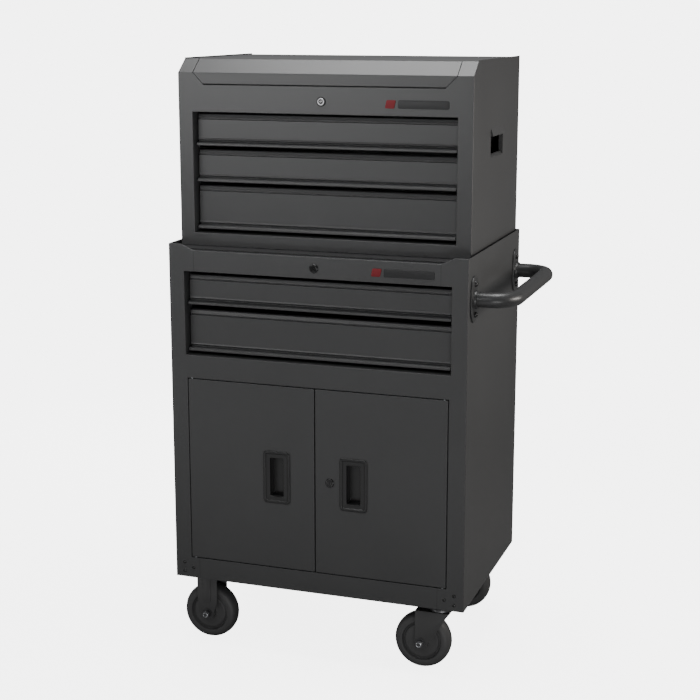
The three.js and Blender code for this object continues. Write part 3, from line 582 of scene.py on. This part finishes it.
def chest_frame():
    face = Folded()
    half, low, high = CH_OPEN
    cut = LIP_HALF + SEAM
    inner = cut - LIP_HEIGHT - SEAM
    head = CREASE_Z - LIP_HEIGHT - SEAM
    xs = [-CH_HALF, -half, -cut, -inner]
    xs += [-x for x in reversed(xs)]
    zs = [CH_BASE, low, high, None]

    def top(u):
        k = min(1, max(0, (abs(u) - inner) / (cut - inner)))
        return head + (CREASE_Z - head) * k

    face.grid(lambda u, v: (CX + u, CH_F, top(u) if v is None else v), xs, zs,
              lambda i, j: not (j == 1 and abs(xs[i] + xs[i + 1]) / 2 < half))
    for s in (-1, 1):
        for u0, u1 in ((cut, half), (half, CH_HALF)):
            face.face((CX + s * u0, CH_F, CREASE_Z), (CX + s * u1, CH_F, CREASE_Z),
                      (CX + s * u1, CREASE_Y, LID_TOP), (CX + s * u0, CREASE_Y, LID_TOP))
    flat = lambda a, b: near(a.y, CH_F) and near(b.y, CH_F)
    face.flange(lambda a, b: flat(a, b) and in_opening(a, half, low, high) and in_opening(b, half, low, high),
                lambda p: (p.x, p.y + JAMB, p.z))
    face.flange(lambda a, b: flat(a, b) and near(a.z, head) and near(b.z, head),
                lambda p: (p.x, p.y + 4.5 * MM, p.z))
    face.flange(lambda a, b: flat(a, b) and near(a.z, CH_BASE) and near(b.z, CH_BASE),
                lambda p: (p.x, p.y + 1.3 * MM, p.z))
    rim = 1.4 * MM
    run, rise = (CREASE_Y - CH_F), (LID_TOP - CREASE_Z)
    n = Vector((rise, -run)).normalized()

    def tuck(p):
        if near(p.y, CH_F) and not near(p.z, CREASE_Z):
            return (p.x, p.y + rim, p.z)
        if near(p.y, CH_F):
            k = rim / (1 + n.x)
            return (p.x, p.y + (1 + n.x) * k, p.z + n.y * k)
        return (p.x, p.y + n.x * rim, p.z + n.y * rim)

    face.flange(lambda a, b: near(abs(a.x - CX), CH_HALF) and near(abs(b.x - CX), CH_HALF), tuck)
    piece("chest_front", face.done(1.2 * MM, outward=(0, -1, 0)), PAINT, "cabinet", sheet=SHEET,
          replaces=["chest_front_frame"])


def chest_lid():
    face = Folded()
    low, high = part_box("chest_lid")
    half = (high.x - low.x) / 2
    cut = LIP_HALF
    rear = high.y
    step = CREASE_Y + 1.3 * MM
    skirt, rear_edge = 14 * MM, 1.2 * MM
    x = lambda u: CX + u
    face.face((x(-half), rear, LID_TOP), (x(-half), step, LID_TOP), (x(-cut), step, LID_TOP),
              (x(cut), step, LID_TOP), (x(half), step, LID_TOP), (x(half), rear, LID_TOP))
    lip, lip_z = cut - LIP_HEIGHT, CREASE_Z - LIP_HEIGHT
    rows = [(cut, step, LID_TOP), (cut, CREASE_Y, LID_TOP), (cut, CH_F, CREASE_Z), (lip, CH_F, lip_z),
            (lip, CH_F + 3 * MM, lip_z)]
    for (u0, y0, z0), (u1, y1, z1) in zip(rows, rows[1:]):
        face.face((x(-u0), y0, z0), (x(u0), y0, z0), (x(u1), y1, z1), (x(-u1), y1, z1))
    face.flange(lambda a, b: near(abs(a.x - CX), half) and near(abs(b.x - CX), half),
                lambda p: (p.x, p.y, p.z - skirt))
    at_rear = lambda p: near(p.y, rear) and near(p.z, LID_TOP)
    face.flange(lambda a, b: at_rear(a) and at_rear(b), lambda p: (p.x, p.y, p.z - rear_edge))
    piece("lid_skin", face.done(1.3 * MM, outward=(0, 0, 1)), PAINT, "lid", sheet=SHEET,
          replaces=["chest_lid"])


# ------------------------------------------------------------------ locks


def lock(name, body, mat, collar=None):
    """A lock's round face: a rolled rim, or a narrow ring in a near-black collar whose colour paints the
    shade round the ring.
    """
    low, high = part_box(name)
    c = (low + high) / 2
    f = low.y + 3 * MM
    k = (high.x - low.x) / 2 / (10 * MM)  # the outlines are drawn for a face with a radius of 10 mm
    rim = [(5.15, -2.2), (5.6, -2.7), (6.4, -2.9), (8.0, -2.95), (9.0, -2.7), (9.7, -2.0), (10.0, -1.1),
           (10.0, -0.1), (8.0, -0.1), (8.0, 19.5), (5.15, 19.5)]
    ring_face = [(5.15, -2.3), (5.5, -2.8), (6.2, -2.98), (6.9, -2.9), (7.4, -2.4), (7.5, -1.4), (7.5, 19.5),
                 (5.15, 19.5)]
    collar_face = [(7.55, -1.2), (8.2, -1.9), (9.4, -1.9), (10.0, -1.3), (10.0, -0.1), (7.55, -0.1)]
    bm = bmesh.new()
    profile = ring_face if collar else rim
    turned(bm, [(a * k * MM, b * MM) for a, b in profile], "y", (c.x, f, c.z), 40)
    piece(name + "_face", bm, mat, body, replaces=[name])
    if collar:
        bm = bmesh.new()
        turned(bm, [(a * k * MM, b * MM) for a, b in collar_face], "y", (c.x, f, c.z), 40)
        piece(name + "_collar", bm, collar, body)


def key_post(plug, barrel, body, mat):
    """The round post in the middle of a tubular lock's plug."""
    front = lo(plug).y
    c = mid(barrel)
    bm = bmesh.new()
    profile = [(0, -1.7), (0.8, -1.6), (1.5, -1.2), (2.0, -0.5), (2.1, 0.2), (2.1, 1.5), (0, 1.5)]
    turned(bm, in_mm(profile), "y", (c.x, front, c.z), 24, closed=False)
    piece(plug + "_post", bm, mat, body)


# ------------------------------------------------------------------ push handle


def push_handle():
    low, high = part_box("push_handle")
    cy, cz = (low.y + high.y) / 2, (low.z + high.z) / 2
    wall = low.x
    radius = 16 * MM
    plate_t = 3 * MM
    leg = 188 * MM
    grip = CAB_R + 80 * MM
    bend = 46 * MM
    pts = [(wall + plate_t - 1 * MM, cy - leg), (grip - bend, cy - leg)]
    steps = 14
    for i in range(1, steps + 1):
        t = math.pi / 2 * i / steps
        pts.append((grip - bend + bend * math.sin(t), cy - leg + bend - bend * math.cos(t)))
    half = [(x, y, cz) for x, y in pts]
    far = [(x, 2 * cy - y, z) for x, y, z in reversed(half)]
    bm = bmesh.new()
    swept_tube(bm, half + far, radius, 36)
    for s in (-1, 1):
        y = cy + s * leg
        outline = fillet(rectangle(y, cz, 26 * MM, 48.5 * MM), 25.4 * MM, 9, closed=True)
        prism(bm, outline, "x", wall, wall + plate_t, bevel=0.7 * MM)
        weld = [(15.5, 2.0), (20.2, 2.6), (20.4, 3.6), (19.2, 5.0), (18.9, 8.2), (18.2, 9.4), (15.5, 9.6)]
        turned(bm, in_mm(weld), "x", (wall, y, cz), 36)
    piece("push_bar", bm, BAR_PAINT, "cabinet", replaces=["push_handle"])
    bolts = bmesh.new()
    for s in (-1, 1):
        for dz in (-32, 32):
            centre = (wall + plate_t, cy + s * leg, cz + dz * MM)
            head = [(0, -0.4), (6.2, -0.4), (6.2, 1.0), (5.7, 3.2), (4.6, 4.8), (3.2, 5.6), (2.4, 5.7),
                    (2.1, 3.9), (0, 3.9)]
            turned(bolts, in_mm(head), "x", centre, 28, closed=False)
    piece("push_bar_bolts", bolts, BLACK_SATIN, "cabinet")


# ------------------------------------------------------------------ casters


def wheel(name, body):
    low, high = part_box(name)
    c = (low + high) / 2
    profile = [(5.1, 25.4), (13.6, 25.4), (15.4, 24.4), (16.0, 21.0), (16.6, 17.0), (19, 15.8), (33.5, 15.6),
               (36.4, 15.6), (37.6, 14.8), (38.2, 13.0), (39.4, 12.0), (41.2, 12.0), (42.2, 13.2),
               (42.8, 16.6), (44.0, 18.4), (46.4, 19.0), (52.0, 18.8), (56.2, 17.2), (59.6, 13.8),
               (61.8, 8.4), (62.5, 2.4)]
    both = [(r, -a) for r, a in profile] + [(r, a) for r, a in reversed(profile)]
    bm = bmesh.new()
    turned(bm, in_mm(both), "y", (c.x, c.y, WHEEL_RADIUS), 72)
    piece(name + "_tread", bm, RUBBER_LIGHTENED, body, smooth=40, replaces=[name])


def axle(name, body):
    """A bolt through the fork with a washer, a nut and the end of the thread on the outer side."""
    low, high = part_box(name)
    c = (low + high) / 2
    x, z = c.x, WHEEL_RADIUS
    leg = 29.7 * MM
    y = (low.y + high.y) / 2 + 1.5 * MM
    bm = bmesh.new()
    front, back = (low.y - y) / MM, (high.y - y) / MM
    pin = [(0, front + 2.4), (3.6, front + 2.4), (4.2, front + 0.3), (4.9, front), (5.9, front + 0.5),
           (6.2, front + 1.4), (6.2, front + 4.2), (5.0, front + 4.4), (5.0, back), (0, back)]
    turned(bm, in_mm(pin), "y", (x, y, z), 28, closed=False)
    piece(name + "_pin", bm, ZINC, body, replaces=[name])
    bm = bmesh.new()
    for sign, thick in ((-1, 7.0), (1, 5.5)):
        a, b = sorted((sign * leg + sign * 0.2 * MM, sign * leg + sign * 1.5 * MM))
        turned(bm, [(5.1 * MM, a), (11.0 * MM, a), (11.0 * MM, b), (5.1 * MM, b)], "y", (x, y, z), 32)
        a, b = sorted((y + sign * (leg + 1.5 * MM), y + sign * (leg + (1.5 + thick) * MM)))
        prism(bm, ring(6, 9.2 * MM, x, z, 0.5), "y", a, b, bevel=0.9 * MM)
    bore = [(0, front + 1.0), (3.75, front + 1.0), (3.75, front + 2.8), (0, front + 2.8)]
    turned(bm, in_mm(bore), "y", (x, y, z), 28, closed=False)
    piece(name + "_nuts", bm, BOLT, body)


def plate_and_bolts(bm, node):
    low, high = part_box(node)
    top = high.z
    cx, cy = (low.x + high.x) / 2, (low.y + high.y) / 2
    outline = fillet(rectangle(cx, cy, 47.5 * MM, 35 * MM), 6 * MM, 5, closed=True)
    prism(bm, outline, "z", top - PLATE, top, bevel=0.6 * MM)
    return cx, cy, top


def bolt_heads(name, node):
    low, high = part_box(node)
    cx, cy, top = (low.x + high.x) / 2, (low.y + high.y) / 2, high.z - PLATE
    washer = [(0, 0.1), (7.4, 0.1), (7.4, -1.3), (0, -1.3)]
    bm = bmesh.new()
    for sx in (-1, 1):
        for sy in (-1, 1):
            x, y = cx + sx * 37.5 * MM, cy + sy * 27 * MM
            turned(bm, in_mm(washer), "z", (x, y, top), 24, closed=False)
            prism(bm, ring(6, 6.2 * MM, x, y, 0.5), "z", top - 5.6 * MM, top - 1.3 * MM, bevel=0.5 * MM)
    piece(name, bm, BOLT, "cabinet")


def rigid_fork(node):
    bm = bmesh.new()
    cx, cy, top = plate_and_bolts(bm, node)
    under = top - PLATE
    axle_z = WHEEL_RADIUS
    half = [(24 * MM, under + 0.5 * MM), (24 * MM, 92 * MM), (11.5 * MM, axle_z - 10 * MM)]
    outline = fillet([(cx - a, b) for a, b in half] + [(cx + a, b) for a, b in reversed(half)],
                     [0, 12 * MM, 9 * MM, 9 * MM, 12 * MM, 0], 5)
    rib = fillet([(cx - 9 * MM, under - 2 * MM), (cx - 9 * MM, 88 * MM), (cx + 9 * MM, 88 * MM),
                  (cx + 9 * MM, under - 2 * MM)], [0, 8 * MM, 8 * MM, 0], 6)
    for s in (-1, 1):
        y0, y1 = sorted((cy + s * FORK_INSIDE, cy + s * FORK_OUTSIDE))
        prism(bm, outline, "y", y0, y1, bevel=0.6 * MM)
        y0, y1 = sorted((cy + s * 28.5 * MM, cy + s * 31.2 * MM))
        prism(bm, rib, "y", y0, y1, bevel=1.2 * MM)
    piece(node + "_steel", bm, CASTER_PAINT_LIGHTENED, "cabinet", replaces=[node])
    bolt_heads(node + "_bolts", node)


def swivel_plate(node):
    bm = bmesh.new()
    cx, cy, top = plate_and_bolts(bm, node)
    z = top - PLATE
    race = [(0, 0.4), (25.0, 0.4), (26.4, -0.8), (26.6, -4.2), (25.8, -7.6), (24.4, -8.5), (0, -8.5)]
    turned(bm, in_mm(race), "z", (cx, cy, z), 48, closed=False)
    pin = [(0, -8.3), (6.0, -8.3), (6.0, -18.8), (11.0, -18.8), (11.0, -22.2), (9.6, -23.8), (0, -23.8)]
    turned(bm, in_mm(pin), "z", (cx, cy, z), 32, closed=False)
    piece(node + "_race", bm, ZINC_DARK, "cabinet", replaces=[node])
    bolt_heads(node + "_bolts", node)


def swivel_fork(node, body, pivot):
    cx, cy = pivot
    crown = hi(node).z
    under = crown - RACE_HEIGHT
    axle_x, axle_z = cx - TRAIL, WHEEL_RADIUS
    bm = bmesh.new()
    race = [(6.1, 0), (23.4, 0), (24.8, -0.8), (26.0, -3.2), (26.4, -6.4), (26.4, -8.4), (6.1, -8.4)]
    turned(bm, in_mm(race), "z", (cx, cy, crown), 48)
    piece(node + "_race", bm, BOLT, body)
    bm = bmesh.new()
    leg = [(cx - 51 * MM, under - 0.5 * MM), (cx - 51 * MM, axle_z), (axle_x - 9 * MM, axle_z - 12 * MM),
           (axle_x + 7 * MM, axle_z - 12 * MM), (cx - 14 * MM, 74 * MM), (cx + 19 * MM, 128 * MM),
           (cx + 24 * MM, under - 0.5 * MM)]
    outline = fillet(leg, [0, 11 * MM, 9 * MM, 9 * MM, 14 * MM, 8 * MM, 0], 6)
    for s in (-1, 1):
        y0, y1 = sorted((cy + s * FORK_INSIDE, cy + s * FORK_OUTSIDE))
        prism(bm, outline, "y", y0, y1, bevel=0.6 * MM)
    edge = [(-51 * MM, 29.4 * MM), (20 * MM, 29.4 * MM), (24 * MM, 24 * MM)]
    web = fillet([(cx + a, cy - b) for a, b in edge] + [(cx + a, cy + b) for a, b in reversed(edge)],
                 [0, 3 * MM, 3 * MM, 3 * MM, 3 * MM, 0], 4)
    prism(bm, web, "z", under - 0.6 * MM, under + 2 * MM, holes=[ring(24, 6.2 * MM, cx, cy)])
    piece(node + "_steel", bm, CASTER_PAINT_LIGHTENED, body, replaces=[node])


# ------------------------------------------------------------------ badges


def badge(name, cx, cz, front):
    """A blank dark name bar with a small red tab beside it; no lettering."""
    bm = bmesh.new()
    w, h = 108 * MM, 17 * MM
    x = cx + 14 * MM
    bar = fillet(rectangle(x, cz, w / 2, h / 2), 3.5 * MM, 5, closed=True)
    prism(bm, bar, "y", front - 1.3 * MM, front + 0.3 * MM, bevel=0.5 * MM)
    piece(name + "_bar", bm, BADGE_BLACK, "cabinet")
    bm = bmesh.new()
    x = cx - 56 * MM
    tab = fillet([(x - 12 * MM, cz - h / 2), (x + 8 * MM, cz - h / 2), (x + 12 * MM, cz + h / 2),
                  (x - 8 * MM, cz + h / 2)], 2.5 * MM, 5, closed=True)
    prism(bm, tab, "y", front - 1.3 * MM, front + 0.3 * MM, bevel=0.5 * MM)
    piece(name + "_tab", bm, BADGE_RED, "cabinet")


# ------------------------------------------------------------------ the object

# painted shade: near-black strips stand in for the shade inside the rail seams
SEAM_SHADE = material("seam_shadow", (0.012, 0.012, 0.012), 0.7)
# painted light: the body's dark paint, set lighter on the caster forks and plates to make up for the dim
# light near the floor
CASTER_PAINT_LIGHTENED = material("caster_paint_lightened", (0.054, 0.054, 0.055), 0.46, 0.0, grain=0.15)
BLACK_GLOSS = material("black_gloss", (0.012, 0.012, 0.0125), 0.25, 0.0)
# painted shade: the matte collar round the chest lock's ring stands in for the shadow the lock casts
LOCK_SHADOW = material("lock_shadow", (0.008, 0.008, 0.008), 0.65)
LOCK_BLACK = material("lock_black", (0.012, 0.012, 0.0125), 0.14, 0.0)
LOCK_RING = material("lock_ring", (0.4, 0.4, 0.41), 0.3, 0.9, mottle=0.05)
BAR_PAINT = material("bar_paint", (0.032, 0.0325, 0.0335), 0.36, 0.0, grain=0.12)
BLACK_SATIN = material("pull_plastic", (0.012, 0.012, 0.0125), 0.34, 0.0, grain=0.1)
BOLT = material("bolt_steel", (0.12, 0.12, 0.125), 0.4, 0.8, mottle=0.15)
ZINC_DARK = material("race_steel", (0.1, 0.1, 0.105), 0.42, 0.7, mottle=0.15)
BADGE_BLACK = material("badge_black", (0.01, 0.01, 0.011), 0.55)
BADGE_RED = material("badge_red", (0.16, 0.002, 0.007), 0.7)

cabinet_frame()
seam_lines()
rivets()
for hand in (-1, 1):
    door(hand)
    door_pull(hand)
for drawer in ("cabinet_drawer_1", "cabinet_drawer_2"):
    drawer_front(drawer, CAB_OPEN[0])
for drawer in ("chest_drawer_1", "chest_drawer_2", "chest_drawer_3"):
    drawer_front(drawer, CH_OPEN[0])
chest_frame()
chest_lid()
lock("cabinet_lock_barrel", "cabinet", LOCK_BLACK)
lock("chest_lock_barrel", "cabinet", LOCK_RING, collar=LOCK_SHADOW)
key_post("chest_lock_plug", "chest_lock_barrel", "chest_lock_core", CHROME)
lock("door_lock_barrel", "right_door_leaf", LOCK_BLACK)
push_handle()
for row in ("front", "rear"):
    wheel(row + "_left_wheel", row + "_left_roller")
    wheel(row + "_right_wheel", row + "_right_roller")
    axle(row + "_left_axle", "cabinet")
    axle(row + "_right_axle", row + "_swivel")
    rigid_fork(row + "_left_caster_fork")
    swivel_plate(row + "_right_caster_plate")
    spot = mid(row + "_right_caster_plate")
    swivel_fork(row + "_right_caster_fork", row + "_swivel", (spot.x, spot.y))
badge("chest_badge", CX + 206 * MM, CH_BASE + 311 * MM, CH_F)
badge("cabinet_badge", CX + 193 * MM, BASE + 717 * MM, CAB_F)

LOOKS = {"painted_steel": PAINT, "zinc_plated_steel": ZINC, "chrome_plate": CHROME, "black_plastic": BLACK,
         "caster_rubber": RUBBER_LIGHTENED, "liner_foam": LINER}
# the chest lock's plug is made near-black as painted shade for the ring-shaped key slot round its post
NODE_LOOKS = {"cabinet_lock_plug": LOCK_BLACK, "door_lock_plug": LOCK_BLACK, "chest_lock_plug": BLACK_GLOSS}
SOFT_EDGES = ("cabinet_left_side", "cabinet_right_side", "cabinet_back", "cabinet_tray_top",
              "chest_left_side", "chest_right_side", "chest_back", "tray_liner")
for row in frame["record"]["subparts"]:
    node = NODES[row["node"]]
    if node.hide_render:
        continue
    node.data.materials.clear()
    node.data.materials.append(NODE_LOOKS.get(row["node"], LOOKS[row["material_slot"]]))
    if row["node"] in SOFT_EDGES:
        bevel = node.modifiers.new("edges", "BEVEL")
        bevel.width = 0.3 * MM
        bevel.segments = 2
        bevel.limit_method = "ANGLE"
        bevel.angle_limit = math.radians(50)


# ------------------------------------------------------------------ floor, light and camera


def floor():
    bm = bmesh.new()
    bmesh.ops.create_grid(bm, x_segments=2, y_segments=2, size=9.0)
    mesh = bpy.data.meshes.new("floor")
    bm.to_mesh(mesh)
    bm.free()
    ob = bpy.data.objects.new("floor", mesh)
    bpy.context.scene.collection.objects.link(ob)
    look = material("pale_floor", (0.8, 0.8, 0.8), 0.8, mottle=0.005)
    mesh.materials.append(look)
    nt = look.node_tree
    new = nt.nodes.new
    join = nt.links.new
    out = next(n for n in nt.nodes if n.type == "OUTPUT_MATERIAL")
    pale = out.inputs["Surface"].links[0].from_socket

    # the floor glows faintly where it is looked at and bounces little light back up
    shine = new("ShaderNodeEmission")
    shine.inputs["Strength"].default_value = 4.6
    bright = new("ShaderNodeAddShader")
    dim = new("ShaderNodeBsdfDiffuse")
    dim.inputs["Color"].default_value = (0.22, 0.22, 0.22, 1)
    seen = new("ShaderNodeLightPath")
    solid = new("ShaderNodeMixShader")
    join(pale, bright.inputs[0])
    join(shine.outputs["Emission"], bright.inputs[1])
    join(seen.outputs["Is Camera Ray"], solid.inputs["Fac"])
    join(dim.outputs["BSDF"], solid.inputs[1])
    join(bright.outputs["Shader"], solid.inputs[2])

    # far from the object it melts into the white backdrop
    where = new("ShaderNodeTexCoord")
    reach = new("ShaderNodeVectorMath")
    reach.operation = "LENGTH"
    fade = new("ShaderNodeMapRange")
    fade.interpolation_type = "SMOOTHSTEP"
    fade.inputs["From Min"].default_value = 0.7
    fade.inputs["From Max"].default_value = 2.6
    clear = new("ShaderNodeBsdfTransparent")
    both = new("ShaderNodeMixShader")
    join(where.outputs["Object"], reach.inputs[0])
    join(reach.outputs["Value"], fade.inputs["Value"])
    join(fade.outputs["Result"], both.inputs["Fac"])
    join(solid.outputs["Shader"], both.inputs[1])
    join(clear.outputs["BSDF"], both.inputs[2])
    join(both.outputs["Shader"], out.inputs["Surface"])


def area(name, place, target, size, power, size_y, color=(1, 1, 1)):
    data = bpy.data.lights.new(name, "AREA")
    data.shape = "RECTANGLE"
    data.size = size
    data.size_y = size_y
    data.energy = power
    data.color = color
    ob = bpy.data.objects.new(name, data)
    ob.location = place
    ob.rotation_euler = (Vector(target) - Vector(place)).to_track_quat("-Z", "Y").to_euler()
    ob.visible_camera = False
    bpy.context.scene.collection.objects.link(ob)


floor()
area("key", (-0.45, -1.06, 1.30), (-0.1, -0.2, 1.52), 1.2, 6.8, 0.4)
area("front_left", (-2.2, -2.4, 0.16), (0, -0.2, 0.0), 1.2, 5, 0.3)
area("bounce", (-0.3, -1.55, 0.02), (-0.3, -1.55, 1.0), 2.2, 6, 1.4)
area("front_right", (1.35, -2.8, 0.16), (0, -0.2, 0.0), 1.2, 20, 0.3)
area("overhead", (0.0, 0.0, 2.9), (0, 0.1, 1.0), 1.8, 72, 1.2)
area("right", (1.40, 0.08, 1.04), (0.38, 0.05, 1.08), 0.8, 12.5, 0.34, color=(1.0, 0.955, 0.9))
area("behind", (-1.5, 2.2, 0.75), (0, 0.1, 0.7), 1.6, 38, 0.9)
world = bpy.data.worlds.new("studio")
world.use_nodes = True
nt = world.node_tree
nt.nodes.clear()
sky = nt.nodes.new("ShaderNodeOutputWorld")
glow = nt.nodes.new("ShaderNodeBackground")
glow.inputs["Color"].default_value = (1, 1, 1, 1)
glow.inputs["Strength"].default_value = 0.16
paper = nt.nodes.new("ShaderNodeBackground")
paper.inputs["Color"].default_value = (1, 1, 1, 1)
paper.inputs["Strength"].default_value = 5.5
seen = nt.nodes.new("ShaderNodeLightPath")
choice = nt.nodes.new("ShaderNodeMixShader")
nt.links.new(seen.outputs["Is Camera Ray"], choice.inputs["Fac"])
nt.links.new(glow.outputs["Background"], choice.inputs[1])
nt.links.new(paper.outputs["Background"], choice.inputs[2])
nt.links.new(choice.outputs["Shader"], sky.inputs["Surface"])
bpy.context.scene.world = world

camera = bpy.data.cameras.new("camera")
camera.lens = 76.46
camera.sensor_width = 36
camera.shift_y = -0.0371
camera.clip_end = 100
eye = bpy.data.objects.new("camera", camera)
eye.location = (1.0175, -3.0912, 1.3910)
eye.rotation_euler = (math.radians(90 - 11.77), 0, math.radians(19.0))
bpy.context.scene.collection.objects.link(eye)
bpy.context.scene.camera = eye

bpy.context.view_layer.update()
